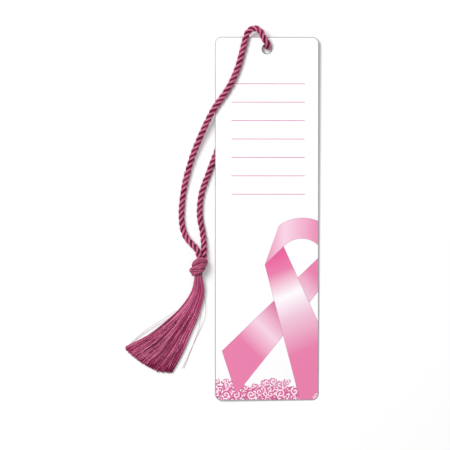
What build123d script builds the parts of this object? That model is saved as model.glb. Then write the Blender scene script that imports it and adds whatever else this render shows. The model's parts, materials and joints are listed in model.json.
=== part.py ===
from build123d import *
from math import asin, atan2, cos, degrees, hypot, pi, radians, sin, sqrt, tan
import os

# Laminated card
card_width = 50.8
card_length = 177.8
card_corner = 3.175
core_thickness = 0.30
film_thickness = 0.10

# Punched hole near the top edge
hole_diameter = 4.76
hole_from_top = 5.9
hole_clearance = 0.65
hole_draw = 0.3
climb_heading = 48.0

# Twisted cord, looped through the hole
cord_diameter = 2.9
cord_clearance = 0.3
back_exit = 52.0
arc_share = 0.45

# Overhand knot that ties the two ends of the cord
knot_beside_card = 8.1
knot_below_hole = 106.3
knot_length = 8.0
knot_width = 5.8
knot_end_diameter = 3.6
knot_clearance = 0.3
wrap_reach = 8.3
wrap_thickness = 3.2
wrap_slant = 40.0
tuck_reach = 6.0
tuck_thickness = 2.6
tuck_slant = -22.0
tuck_offset = 1.8

# The two strands side by side above the knot, one lying partly on the other
pair_offset = 1.55
pair_gap = 0.3
pair_lean = 44.0

# Skirt of loose threads below the knot, trimmed to an even length
neck_diameter = 3.9
neck_drop = 0.6
gather_width = 3.0
gather_thickness = 2.7
skirt_length = 49.5
lock_count = 20

# Height of a lock's crest and drift of its edges, as shares of its width
lock_bump = 0.4
lock_drift = 0.22

# The fan at five distances from the neck: lean of its left and right borders, and its thickness
fan_reach = [7.5, 17.0, 27.0, 38.0, 54.0]
fan_left = [29.0, 32.5, 38.0, 42.5, 49.0]
fan_right = [-22.0, -1.0, 8.0, 12.5, 17.5]
fan_thickness = [3.3, 2.7, 2.2, 1.8, 1.5]

# Values that follow from the sizes above
card_thickness = core_thickness + 2 * film_thickness
cord_radius = cord_diameter / 2
left_edge = -card_width / 2
hole_y = card_length / 2 - hole_from_top
knot_x = left_edge - knot_beside_card
knot_y = hole_y - knot_below_hole
knot_z = wrap_reach / 2
neck_y = knot_y - knot_length / 2 - knot_clearance - neck_diameter / 2
neck_z = knot_z - neck_drop
cord_stop = hypot(knot_length / 2, knot_end_diameter / 2) + knot_clearance
pair_step = (cord_diameter + pair_gap) / 2
pair_x = pair_step * cos(radians(pair_lean))
pair_z = pair_step * sin(radians(pair_lean))

# The card rests on the back strand and on its far lower corner
back_run = Vector(left_edge, -back_exit).normalized()
uphill = Vector(back_run.Y, -back_run.X)
low_corner = Vector(card_width / 2 - card_corner, card_corner - card_length / 2 - hole_y)
lift = cord_diameter + cord_clearance
tilt = asin(lift / (card_corner - low_corner.dot(uphill)))
card_normal = Vector(-sin(tilt) * uphill.X, -sin(tilt) * uphill.Y, cos(tilt))
middle_height = lift - sin(tilt) * hole_y * uphill.Y
card_plane = Plane(
    origin=(0, 0, middle_height),
    x_dir=(card_normal.Z, 0, -card_normal.X),
    z_dir=card_normal,
)


def on_table(x, y, above=0.0):
    """A point of the cord's middle line where the cord lies on the table."""
    return Vector(x, y, cord_radius + above)


def on_card(x, y, above=0.0):
    """A point of the cord's middle line where the cord lies on the card's front."""
    underside = middle_height - (card_normal.X * x + card_normal.Y * y) / card_normal.Z
    return Vector(x, y, underside + card_thickness + cord_clearance + cord_radius + above)


def card_layer(bottom, thickness):
    """One flush-cut layer of the laminate."""
    outline = RectangleRounded(card_width, card_length, card_corner)
    outline -= Pos(0, hole_y) * Circle(hole_diameter / 2)
    return card_plane * (Pos(0, 0, bottom) * extrude(outline, thickness))


def corner_radii(points):
    """The largest smooth radius at each inner point of a route."""
    radii = []
    for before, here, after in zip(points, points[1:], points[2:]):
        shorter = min((here - before).length, (after - here).length)
        turn = radians((here - before).get_angle(after - here))
        radii.append(arc_share * shorter / tan(turn / 2))
    return radii


# Laminate: film, printed card, film
back_film = card_layer(0, film_thickness)
card_core = card_layer(film_thickness, core_thickness)
front_film = card_layer(film_thickness + core_thickness, film_thickness)

# The cord climbs through the hole as flat as the hole lets it, drawn towards the top edge
climb_height = lift + card_thickness + cord_clearance
hole_room = hole_diameter - 2 * hole_clearance
climb = atan2(card_thickness, hole_room) + asin(cord_diameter / hypot(hole_room, card_thickness))
climb_half = climb_height / 2 / tan(climb)
climb_x = climb_half * cos(radians(climb_heading))
climb_y = climb_half * sin(radians(climb_heading))

# Route of the back strand, from the knot along the table and under the card to the hole
back_end = Vector(knot_x + pair_offset + pair_x, knot_y + cord_stop, knot_z - pair_z)
back_strand = [
    back_end,
    on_table(back_end.X + 0.2, knot_y + 9.6, 0.8),
    on_table(knot_x + 2.2, knot_y + 16.3),
    on_table(knot_x + 0.4, knot_y + 24.8),
    on_table(knot_x + 1.1, knot_y + 35.1),
    on_table(knot_x + 4.9, knot_y + 45.3),
    on_table(left_edge + 1.8, hole_y - 48.2),
    on_table(left_edge + 4.4, hole_y - 34.6),
    on_table(left_edge + 7.2, hole_y - 22.6),
    on_table(left_edge + 11.0, hole_y - 11.6),
    on_table(-9.4, hole_y - 5.4),
    on_table(-4.6, hole_y - 1.7),
    on_table(-climb_x, hole_y + hole_draw - climb_y),
]

# Route of the front strand, from the hole over the top edge, across the card and down to the knot
front_end = Vector(knot_x + pair_offset - pair_x, knot_y + cord_stop, knot_z + pair_z)
front_strand = [
    on_card(climb_x, hole_y + hole_draw + climb_y),
    on_card(-0.2, hole_y + 5.6, 0.9),
    on_card(-2.7, hole_y + 9.1, 1.1),
    on_card(-6.6, hole_y + 10.3, 0.7),
    on_card(-9.9, hole_y + 7.9, 0.2),
    on_card(-11.4, hole_y + 1.0),
    on_card(-14.3, hole_y - 10.0),
    on_card(-19.0, hole_y - 20.0),
    on_card(left_edge - 0.2, hole_y - 29.6),
    on_table(left_edge - 5.8, hole_y - 41.4, 2.6),
    on_table(left_edge - 11.2, hole_y - 54.0, 1.0),
    on_table(knot_x - 6.9, knot_y + 38.5),
    on_table(knot_x - 8.6, knot_y + 25.3),
    on_table(knot_x - 7.4, knot_y + 15.9),
    on_table(knot_x - 3.2, knot_y + 10.8, 1.6),
    front_end + Vector(-0.2, 3.0),
    front_end,
]

# One cord of round section along both routes
route = back_strand + front_strand
radii = corner_radii(route)
cord_path = FilletPolyline(*route, radius=radii)
cord_section = Plane(origin=cord_path @ 0, z_dir=cord_path % 0) * Circle(cord_radius)
cord_loop = sweep(cord_section, path=cord_path)
print("cord length", round(cord_path.length, 1), "least radius", round(min(radii), 2))
print("radii", [round(r, 1) for r in radii])
print("volume over section times length", cord_loop.volume / (pi * cord_radius**2 * cord_path.length))

# Overhand knot: a bundle with one wrap slanting round it and one end tucked under the wrap
knot_half = knot_length / 2
knot_end = knot_end_diameter / 2
bulge = ThreePointArc((knot_end, -knot_half), (knot_width / 2, 0), (knot_end, knot_half))
bundle_half = make_face(bulge + Polyline(bulge @ 1, (0, knot_half), (0, -knot_half), bulge @ 0))
bundle = revolve(bundle_half, Axis.Y)
wrap = Torus((wrap_reach - wrap_thickness) / 2, wrap_thickness / 2)
wrap = Rot(0, 0, wrap_slant) * (Rot(90, 0, 0) * wrap)
tuck = Torus((tuck_reach - tuck_thickness) / 2, tuck_thickness / 2)
tuck = Pos(0, tuck_offset, 0) * (Rot(0, 0, tuck_slant) * (Rot(90, 0, 0) * tuck))
tassel_knot = Pos(knot_x, knot_y, knot_z) * (bundle + wrap + tuck)


# Edges of the locks across the fan, counted in even widths, a little uneven as threads fall
golden_angle = pi * (3 - sqrt(5))
lock_edges = [lock + lock_drift * sin(golden_angle * lock) for lock in range(lock_count)]
lock_edges.append(lock_count)


def fan_section(left, right, bottom, thickness):
    """Section across the fan: flat below, with one rounded crest for each lock of threads."""
    base_left = left + Vector(0, 0, bottom)
    base_right = right + Vector(0, 0, bottom)
    pitch = (right - left) / lock_count
    top = Vector(0, 0, thickness)
    valley = top - Vector(0, 0, lock_bump * pitch.length)
    edges = [Edge.make_line(base_left, base_right), Edge.make_line(base_right, base_right + valley)]
    for far, near in reversed(list(zip(lock_edges, lock_edges[1:]))):
        start = base_left + pitch * near + valley
        crest = base_left + pitch * ((near + far) / 2) + top
        end = base_left + pitch * far + valley
        edges.append(Edge.make_three_point_arc(start, crest, end))
    edges.append(Edge.make_line(base_left + valley, base_left))
    return Wire(edges)


def fan_point(reach, lean):
    """A place on the table at a distance and a lean from the neck."""
    return Vector(knot_x - reach * sin(radians(lean)), neck_y - reach * cos(radians(lean)))


# Skirt: a fan of thread locks, gathered into a round neck and trimmed at one length
gather_left = Vector(knot_x - gather_width / 2, neck_y)
gather_right = Vector(knot_x + gather_width / 2, neck_y)
gather_bottom = neck_z - gather_thickness / 2
sections = [fan_section(gather_left, gather_right, gather_bottom, gather_thickness)]
for reach, left, right, thickness in zip(fan_reach, fan_left, fan_right, fan_thickness):
    sections.append(fan_section(fan_point(reach, left), fan_point(reach, right), 0, thickness))
fan = Solid.make_loft(sections, ruled=True)
trim_height = 2 * (neck_z + neck_diameter)
trim = Pos(knot_x, neck_y, 0) * Cylinder(skirt_length, trim_height)
neck = Pos(knot_x, neck_y, neck_z) * Sphere(neck_diameter / 2)
tassel_skirt = (fan & trim) + neck

# Axis of the loop's swing, square to the card in the middle of the hole
hole_middle = card_plane.from_local_coords((0, hole_y, card_thickness / 2))
print("hole middle", hole_middle, "card normal", card_normal, "tilt", round(degrees(tilt), 2))
print("knot middle", knot_x, knot_y, knot_z, "neck", knot_x, neck_y, neck_z)

os.makedirs("parts", exist_ok=True)
export_step(card_core, "parts/card_core.step")
export_step(front_film, "parts/front_film.step")
export_step(back_film, "parts/back_film.step")
export_step(cord_loop, "parts/cord_loop.step")
export_step(tassel_knot, "parts/tassel_knot.step")
export_step(tassel_skirt, "parts/tassel_skirt.step")
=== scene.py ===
import json
from math import cos, pi, radians, sin, tau

import bpy
import numpy as np
from bpy.props import FloatProperty, FloatVectorProperty, IntProperty, PointerProperty
from mathutils import Matrix, Vector


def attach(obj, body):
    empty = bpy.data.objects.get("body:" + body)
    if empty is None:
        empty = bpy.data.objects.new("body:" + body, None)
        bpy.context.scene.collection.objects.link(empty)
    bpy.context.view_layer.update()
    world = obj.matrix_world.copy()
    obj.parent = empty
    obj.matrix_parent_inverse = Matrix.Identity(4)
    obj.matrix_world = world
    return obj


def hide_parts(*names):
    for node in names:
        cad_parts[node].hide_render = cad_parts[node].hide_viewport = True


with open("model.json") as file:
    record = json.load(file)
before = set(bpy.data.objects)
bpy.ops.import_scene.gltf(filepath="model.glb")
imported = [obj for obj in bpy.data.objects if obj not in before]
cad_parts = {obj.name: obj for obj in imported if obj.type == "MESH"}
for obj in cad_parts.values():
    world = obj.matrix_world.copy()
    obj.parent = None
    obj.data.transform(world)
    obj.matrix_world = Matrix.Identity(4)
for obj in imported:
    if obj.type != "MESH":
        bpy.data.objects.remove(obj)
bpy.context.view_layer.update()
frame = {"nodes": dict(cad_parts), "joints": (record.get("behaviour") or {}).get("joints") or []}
joints = {joint["name"]: joint for joint in frame["joints"]}

bl_info = {
    "name": "Bookmark with a tassel",
    "version": (1, 0, 0),
    "blender": (4, 5, 0),
    "location": "3D View > Sidebar > Bookmark",
    "description": "Models a laminated bookmark with a looped cord, a knot and a thread tassel",
    "category": "Object",
}

MM = 0.001

# Middle line of the cord in millimetres, from the knot behind the card, through the hole and down the front
CORD_ROUTE = (
    (-30.8, -18.6, 3.05), (-30.6, -13.7, 2.25), (-31.3, -7.0, 1.45), (-33.1, 1.5, 1.45),
    (-32.4, 11.8, 1.45), (-28.6, 22.0, 1.45), (-23.6, 34.8, 1.45), (-21.0, 48.4, 1.45),
    (-18.2, 60.4, 1.45), (-14.4, 71.4, 1.45), (-10.3, 79.1, 1.45), (-5.9, 85.7, 1.45),
    (-2.8, 86.8, 1.45), (-0.5, 85.1, 1.2), (0.6, 83.5, 3.05), (0.6, 83.7, 5.5),
    (0.3, 85.7, 7.0), (-1.3, 87.4, 7.1), (-3.2, 92.0, 6.75), (-6.6, 93.3, 6.5),
    (-9.9, 90.9, 6.05), (-11.4, 84.0, 5.8), (-14.3, 73.0, 5.75), (-19.0, 63.0, 5.7),
    (-26.3, 53.4, 5.8), (-32.0, 41.6, 4.05), (-37.1, 29.0, 2.45), (-40.7, 15.2, 1.45),
    (-42.1, 2.0, 1.45), (-40.9, -7.4, 1.45), (-36.7, -12.5, 3.05), (-33.3, -15.6, 5.25),
    (-33.1, -18.6, 5.25),
)

# The cord: spacing of its points, how full it lies, and how far about the hole it is squeezed and by how much
CORD_STEP = 0.45 * MM
CORD_FULLNESS = 1.1
HOLE_GRIP = 3.5 * MM
HOLE_SQUEEZE = 0.25

# Sides of one ply of the cord
PLY_SIDES = 12

# Room that the loose fibres keep from the faces and the edges of the card
FACE_ROOM = 0.07 * MM
EDGE_ROOM = 0.3 * MM

# Upper border of the lace in millimetres: its height, and the rise, the length and one crest of its waves
LACE_TOP = -79.2
LACE_RISE = 1.3
LACE_WAVE = 29.0
LACE_CREST = -24.0

# The ends of the cord inside the knot, in millimetres from the middle of the knot
KNOT_STRANDS = (
    [(2.62, 3.2, -0.86), (1.2, 0.5, -0.7), (0.5, -3.5, -0.6)],
    [(0.5, 3.2, 1.11), (0.0, 0.5, 0.6), (-0.6, -3.5, 0.1)],
)

# Turns of the knot: the cord's thickness, drawn tight, and its route, in millimetres from the knot's middle
KNOT_WRAPS = (
    (3.0, [
        (-0.9, 0.3, -0.9), (0.4, 0.6, -2.3), (2.6, 1.5, -1.8), (3.2, 1.2, 0.9),
        (1.9, 0.4, 3.1), (-0.8, -0.9, 3.2), (-2.7, -1.8, 2.4), (-3.2, -2.1, -0.6),
        (-2.2, -1.3, -2.4), (0.4, -0.3, -2.6), (1.7, 0.1, -1.3),
    ]),
    (2.6, [
        (-0.4, -1.2, -0.9), (0.8, -1.2, -2.3), (2.2, -0.6, -1.6), (2.5, -0.9, 0.8),
        (1.4, -1.7, 2.6), (-0.8, -2.8, 2.6), (-2.2, -3.5, 1.5), (-2.4, -3.6, -0.6),
        (-1.2, -2.8, -2.1), (0.8, -1.8, -2.3), (1.4, -1.0, -0.9),
    ]),
    (2.7, [
        (-0.6, -0.4, -0.2), (-2.0, 0.0, 0.2), (-2.0, 1.2, 1.6), (-0.6, 2.6, 2.7),
        (1.6, 3.3, 2.7), (3.4, 2.6, 1.2), (3.3, 1.9, -1.6), (1.2, 2.0, -2.4),
        (-1.0, 1.6, -2.1), (-1.7, 0.9, -1.0), (-0.4, 0.2, 0.0),
    ]),
)


def size(name, description, millimetres):
    """A length that a user can change."""
    return FloatProperty(name=name, description=description, default=millimetres * MM, unit="LENGTH")


def colour(name, description, red, green, blue):
    """A colour that a user can change, given as it shows on the screen, from 0 to 255."""
    return FloatVectorProperty(
        name=name,
        description=description,
        subtype="COLOR_GAMMA",
        size=3,
        min=0.0,
        max=1.0,
        default=(red / 255, green / 255, blue / 255),
    )


class CardSettings(bpy.types.PropertyGroup):
    """Sizes and inks of the laminated card."""

    width: size("Width", "Width of the card", 50.8)
    length: size("Length", "Length of the card", 177.8)
    corner: size("Corner", "Radius of the corners", 3.175)
    core: size("Core", "Thickness of the printed card", 0.3)
    film: size("Film", "Thickness of each clear film", 0.1)
    hole: size("Hole", "Diameter of the punched hole", 4.76)
    hole_from_top: size("Hole from top", "From the top edge to the middle of the hole", 5.9)
    paper: colour("Paper", "White of the printed card", 254, 253, 254)
    # Grey of the cut layers on the side wall; on the printed faces it is also painted edge shade
    cut: colour("Cut edge", "Grey of the trimmed edges", 146, 144, 148)
    rule: colour("Rules", "Ink of the ruled lines", 205, 62, 150)
    pale: colour("Pale pink", "Palest ink of the lace", 250, 208, 226)
    pink: colour("Pink", "Middle ink of the lace and the header", 238, 134, 178)
    deep: colour("Deep pink", "Darkest ink of the lace", 198, 76, 140)
    ribbon_fold: colour("Ribbon fold", "Ink of the ribbon at its fold", 233, 92, 156)
    ribbon_shade: colour("Ribbon shade", "Ink of the ribbon where one limb shades the other", 222, 116, 162)
    ribbon: colour("Ribbon", "Main ink of the ribbon", 233, 127, 173)
    ribbon_soft: colour("Ribbon sheen", "Soft sheen on the ribbon", 240, 197, 218)
    ribbon_pale: colour("Ribbon light", "Pale light on the ribbon", 246, 211, 229)
    ribbon_gleam: colour("Ribbon gleam", "Whitest gleam on the ribbon", 253, 249, 253)
    ribbon_edge: colour("Ribbon edge", "Fine line along the edges of the ribbon", 190, 104, 146)


class CordSettings(bpy.types.PropertyGroup):
    """Sizes and dyes of the twisted cord."""

    diameter: size("Diameter", "Outer diameter of the cord", 2.9)
    lay: size("Lay", "Length of one full turn of a ply", 9.07)
    plies: IntProperty(name="Plies", description="Plies twisted together", default=3, min=2, max=6)
    # Painted light and shade: the first colour is a painted highlight where the plies face out, the last
    # painted shade between them
    crest: colour("Crest", "Colour of the plies where they face out", 212, 112, 150)
    middle: colour("Middle", "Colour of the sides of the plies", 154, 48, 88)
    painted_groove_shade: colour("Groove", "Colour between the plies", 96, 8, 38)


class SkirtSettings(bpy.types.PropertyGroup):
    """Sizes and dyes of the loose threads."""

    length: size("Length", "From the neck to the trimmed ends", 49.5)
    locks: IntProperty(name="Locks", description="Locks that the threads fall into", default=90, min=4)
    threads: IntProperty(name="Threads", description="Threads in each lock", default=8, min=4)
    thread: size("Thread", "Diameter of a thread", 0.3)
    # The light colour serves lighter dye and painted glints, the dark one darker dye and painted shade
    light: colour("Light", "Threads that catch the light", 244, 142, 184)
    middle: colour("Middle", "Most of the threads", 164, 34, 92)
    dark: colour("Dark", "Threads that lie deep", 92, 0, 40)


class StageSettings(bpy.types.PropertyGroup):
    """Floor, light and camera."""

    floor: colour("Floor", "Plain pale floor", 232, 232, 232)
    key: FloatProperty(name="Key light", description="Power of the soft lamp", default=10.5, unit="POWER")
    fill: FloatProperty(name="Fill", description="Strength of the even light from all round", default=0.4)
    view_x: size("View across", "Middle of the view", -20.5)
    view_y: size("View along", "Middle of the view", -3.06)
    height: size("Camera", "Height of the camera", 1226.0)


def linear(shown):
    """A screen colour as the light that a shader works with."""
    return tuple(c / 12.92 if c <= 0.04045 else ((c + 0.055) / 1.055) ** 2.4 for c in shown) + (1.0,)


class Finish:
    """Nodes of a material or of the world, put together one by one."""

    def __init__(self, owner, output="ShaderNodeOutputMaterial"):
        owner.use_nodes = True
        self.owner, self.tree = owner, owner.node_tree
        self.tree.nodes.clear()
        self.output = self.tree.nodes.new(output)

    def add(self, kind, inputs=None, **settings):
        """A node with its settings, and with values or other nodes' outputs at its inputs."""
        node = self.tree.nodes.new(kind)
        for key, value in settings.items():
            setattr(node, key, value)
        for key, value in (inputs or {}).items():
            if isinstance(value, bpy.types.NodeSocket):
                self.tree.links.new(value, node.inputs[key])
            else:
                node.inputs[key].default_value = value
        return node

    def math(self, operation, *values, clamp=False):
        inputs = dict(enumerate(values))
        return self.add("ShaderNodeMath", inputs, operation=operation, use_clamp=clamp).outputs[0]

    def vector(self, operation, *values, out=0):
        return self.add("ShaderNodeVectorMath", dict(enumerate(values)), operation=operation).outputs[out]

    def blend(self, factor, under, over):
        return self.add("ShaderNodeMix", {0: factor, 6: under, 7: over}, data_type="RGBA").outputs[2]

    def ramp(self, factor, stops):
        """A run of colours, from (place, colour) stops with places from 0 to 1."""
        node = self.add("ShaderNodeValToRGB", {"Fac": factor})
        elements = node.color_ramp.elements
        elements[0].position, elements[0].color = stops[0]
        elements[1].position, elements[1].color = stops[-1]
        for place, tone in stops[1:-1]:
            elements.new(place).color = tone
        return node.outputs["Color"]

    def object_place(self):
        return self.add("ShaderNodeTexCoord").outputs["Object"]

    def split(self, vector):
        """The three outputs, X, Y and Z, of a vector."""
        return self.add("ShaderNodeSeparateXYZ", {"Vector": vector}).outputs

    def thread_map(self):
        """The place round a tube as X and along it as Y."""
        return self.split(self.add("ShaderNodeUVMap").outputs["UV"])

    def noise(self, place, scale, detail=2.0):
        """Cloudy noise, from 0 to 1."""
        inputs = {"Vector": place, "Scale": scale, "Detail": detail}
        return self.add("ShaderNodeTexNoise", inputs).outputs["Fac"]

    def bump(self, height, strength, distance):
        inputs = {"Height": height, "Strength": strength, "Distance": distance}
        return self.add("ShaderNodeBump", inputs).outputs["Normal"]

    def principled(self, **sockets):
        inputs = {}
        for key, value in sockets.items():
            inputs[key.replace("_", " ").title().replace("Ior", "IOR")] = value
        return self.add("ShaderNodeBsdfPrincipled", inputs).outputs["BSDF"]

    def surface(self, shader):
        self.tree.links.new(shader, self.output.inputs["Surface"])
        return self.owner


class PrintFinish(Finish):
    """Inks laid on one face of the card, drawn in millimetres from the middle of the card."""

    # Width of the soft edge of a shape, in millimetres
    soft = 0.09

    def __init__(self, name, card, mirrored=False):
        super().__init__(bpy.data.materials.new(name))
        place = self.vector("SCALE", self.object_place())
        place.node.inputs["Scale"].default_value = 1 / MM
        parts = self.split(place)
        self.x = self.math("MULTIPLY", parts["X"], -1.0) if mirrored else parts["X"]
        self.y = parts["Y"]
        self.spot = self.add("ShaderNodeCombineXYZ", {"X": self.x, "Y": self.y}).outputs["Vector"]
        self.ink = linear(card.paper)

    def cells(self, size, randomness):
        """Scattered cells on the card, of a size in millimetres."""
        inputs = {"Vector": self.spot, "Scale": 1 / size, "Randomness": randomness}
        return self.add("ShaderNodeTexVoronoi", inputs, voronoi_dimensions="2D").outputs

    def scattered(self, size, randomness):
        """The nearest of scattered places, the bearing and the distance from it, and its chance numbers."""
        cells = self.cells(size, randomness)
        offset = self.vector("SUBTRACT", self.spot, cells["Position"])
        parts = self.split(offset)
        bearing = self.math("ARCTAN2", parts["Y"], parts["X"])
        chance = self.add("ShaderNodeSeparateColor", {"Color": cells["Color"]}).outputs
        return cells["Position"], bearing, self.vector("LENGTH", offset, out=1), chance

    def line(self, start, end):
        """Distance from a straight edge, below zero on the left of the way from start to end."""
        (ax, ay), (bx, by) = start, end
        way = Vector((bx - ax, by - ay)).normalized()
        lean = self.math("MULTIPLY_ADD", self.y, -way.x, ay * way.x - ax * way.y)
        return self.math("MULTIPLY_ADD", self.x, way.y, lean)

    def oval(self, middle, half):
        """Distance from an oval, below zero inside it."""
        offset = self.vector("SUBTRACT", self.spot, (*middle, 0))
        share = self.vector("DIVIDE", offset, (*half, 1))
        return self.math("MULTIPLY_ADD", self.vector("LENGTH", share, out=1), min(half), -min(half))

    def stroke(self, distance, half):
        """Distance from a line along the edge of a shape, from half the width of the line."""
        return self.math("ADD", self.math("ABSOLUTE", distance), -half)

    def band(self, first, last, margin):
        """Distance from a level band across the card, below zero inside it."""
        return self.stroke(self.math("ADD", self.y, -(first + last) / 2), abs(last - first) / 2 + margin)

    def from_row(self, first, pitch):
        """How far the nearest of evenly spaced rows is, as a share of their pitch."""
        rows = self.math("MULTIPLY_ADD", self.y, 1 / pitch, 0.5 - first / pitch)
        return self.math("ADD", self.math("FRACT", rows), -0.5)

    def within(self, *distances):
        """Where all the shapes are."""
        found = distances[0]
        for other in distances[1:]:
            found = self.math("MAXIMUM", found, other)
        return found

    def either(self, first, second):
        return self.math("MINIMUM", first, second)

    def cover(self, distance):
        """How much of the ink a shape lays down, with a fine soft edge."""
        return self.math("MULTIPLY_ADD", distance, -1 / self.soft, 0.5, clamp=True)

    def lay(self, cover, ink):
        """Lays an ink, given as it shows on the screen or by a node, over what is there already."""
        if not isinstance(ink, bpy.types.NodeSocket):
            ink = linear(ink)
        self.ink = self.blend(cover, self.ink, ink)

    def shaded(self, across, along, stops):
        """A run of inks along a direction, from (millimetres, ink) stops."""
        first, last = stops[0][0], stops[-1][0]
        scale = 1 / (last - first)
        part = self.math("MULTIPLY_ADD", self.y, along * scale, -first * scale)
        share = self.math("MULTIPLY_ADD", self.x, across * scale, part)
        return self.ramp(share, [((place - first) * scale, linear(ink)) for place, ink in stops])

    def finished(self):
        """Uncoated stock under the inks, with the faint cloud of paper fibre."""
        fibre = self.noise(self.spot, scale=2.2, detail=4.0)
        grain = self.math("MULTIPLY_ADD", fibre, 0.16, 0.46)
        return self.surface(self.principled(base_color=self.ink, roughness=grain, specular_ior_level=0.3))


def lace_height(finish, x, y):
    """Height on the card less the rise and fall of the lace's upper border."""
    wave = finish.math("COSINE", finish.math("MULTIPLY_ADD", x, tau / LACE_WAVE, -tau * LACE_CREST / LACE_WAVE))
    return finish.math("MULTIPLY_ADD", wave, -LACE_RISE, y)


def lay_scrolls(finish, card, cell, pitch, radius, top, share):
    """Scattered rosettes, each one scroll that winds to the left or to the right inside a lobed outline."""
    petals, lobe, half_line = 5.0, 0.13, 0.17
    fade_above, fade = 1.6, 5.0
    deep_from, deep_edge = 0.6, 3.0
    curl_from, curl_edge = 0.5, 3.2
    middle, bearing, reach, chance = finish.scattered(cell, randomness=0.85)
    hand = finish.math("SIGN", finish.math("ADD", chance["Blue"], -0.5))
    angle = finish.math("MULTIPLY_ADD", chance["Red"], tau, finish.math("MULTIPLY", bearing, hand))
    petal = finish.math("COSINE", finish.math("MULTIPLY", angle, petals))
    rim = finish.math("MULTIPLY_ADD", petal, -lobe * radius, finish.math("ADD", reach, -radius))
    scroll = finish.math("SINE", finish.math("MULTIPLY_ADD", reach, tau / pitch, angle))
    place = finish.split(middle)
    chosen = finish.math("LESS_THAN", lace_height(finish, place["X"], place["Y"]), top)
    chosen = finish.math("MULTIPLY", chosen, finish.math("LESS_THAN", chance["Green"], share))
    rose = finish.math("MULTIPLY", finish.cover(rim), chosen)
    inked = finish.math("MULTIPLY_ADD", finish.y, -1 / fade, (top + fade_above) / fade, clamp=True)
    finish.lay(rose, finish.blend(inked, linear(card.pale), linear(card.pink)))
    deep = finish.math("MULTIPLY_ADD", scroll, -deep_edge, -deep_edge * deep_from, clamp=True)
    finish.lay(finish.math("MULTIPLY", rose, deep), card.deep)
    curl = finish.math("MULTIPLY_ADD", scroll, curl_edge, -curl_edge * curl_from, clamp=True)
    finish.lay(finish.math("MULTIPLY", rose, curl), card.paper)
    outline = finish.cover(finish.stroke(rim, half_line))
    finish.lay(finish.math("MULTIPLY", outline, chosen), card.deep)


def lay_lace(finish, card):
    """A border of large and small scrolls, open at its top and closing up towards the card's lower edge."""
    solid_below, bead_cell, bead_radius = 3.6, 2.3, 0.36
    height = lace_height(finish, finish.x, finish.y)
    ground = finish.cover(finish.math("ADD", height, -LACE_TOP + solid_below))
    finish.lay(ground, card.pink)
    lay_scrolls(finish, card, cell=2.9, pitch=1.25, radius=1.7, top=LACE_TOP - 0.9, share=1.0)
    lay_scrolls(finish, card, cell=5.4, pitch=1.5, radius=2.8, top=LACE_TOP - 0.5, share=0.62)
    beads = finish.cells(bead_cell, randomness=0.8)["Distance"]
    bead = finish.cover(finish.math("MULTIPLY_ADD", beads, bead_cell, -bead_radius))
    finish.lay(finish.math("MULTIPLY", bead, ground), card.paper)


def lay_corner_curls(finish, card):
    """Two small curls of the lace that come out again beyond the ribbon."""
    half_line = 0.24
    for middle, radius in (((24.3, -86.5), 0.7), ((23.2, -87.6), 0.45)):
        ring = finish.stroke(finish.oval(middle, (radius, radius)), half_line)
        finish.lay(finish.cover(ring), card.pale)


def lay_rules(finish, card, first, last, count, half, offset):
    """Evenly spaced ruled lines to write on."""
    half_line, margin = 0.16, 1.0
    pitch = (last - first) / (count - 1)
    away = finish.math("ABSOLUTE", finish.from_row(first, pitch))
    thin = finish.math("MULTIPLY_ADD", away, abs(pitch), -half_line)
    side = finish.stroke(finish.math("ADD", finish.x, -offset), half)
    finish.lay(finish.cover(finish.within(thin, side, finish.band(first, last, margin))), card.rule)


def lay_leaves(finish, card, ground):
    """Scattered leaves of five lobes in a paler ink, with a vein along each lobe."""
    lobe_count, radius, lobe, tooth, half_vein = 5.0, 5.2, 1.7, 0.5, 0.14
    paleness, vein_strength = 0.45, 0.6
    _, bearing, reach, chance = finish.scattered(12.0, randomness=0.6)
    angle = finish.math("MULTIPLY_ADD", chance["Red"], tau, bearing)
    lobes = finish.math("COSINE", finish.math("MULTIPLY", angle, lobe_count))
    teeth = finish.math("COSINE", finish.math("MULTIPLY", angle, 3 * lobe_count))
    longer = finish.math("MULTIPLY_ADD", finish.math("COSINE", angle), 0.3, 1.0)
    border = finish.math("MULTIPLY", finish.math("MULTIPLY_ADD", lobes, lobe, radius), longer)
    border = finish.math("MULTIPLY_ADD", teeth, tooth, border)
    leaf = finish.math("MULTIPLY", finish.cover(finish.math("SUBTRACT", reach, border)), ground)
    finish.lay(finish.math("MULTIPLY", leaf, paleness), card.pale)
    half = finish.math("ABSOLUTE", finish.math("SINE", finish.math("MULTIPLY", angle, lobe_count / 2)))
    vein = finish.cover(finish.math("MULTIPLY_ADD", half, finish.math("MULTIPLY", reach, 0.4), -half_vein))
    vein = finish.math("MULTIPLY", finish.math("MULTIPLY", vein, leaf), vein_strength)
    finish.lay(vein, card.pink)


def lay_edged(finish, card, shape, ink):
    """A shape with a fine darker line along its edge."""
    half_line, strength = 0.13, 0.55
    finish.lay(finish.cover(shape), ink)
    edge = finish.cover(finish.stroke(shape, half_line))
    finish.lay(finish.math("MULTIPLY", edge, strength), card.ribbon_edge)


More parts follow.
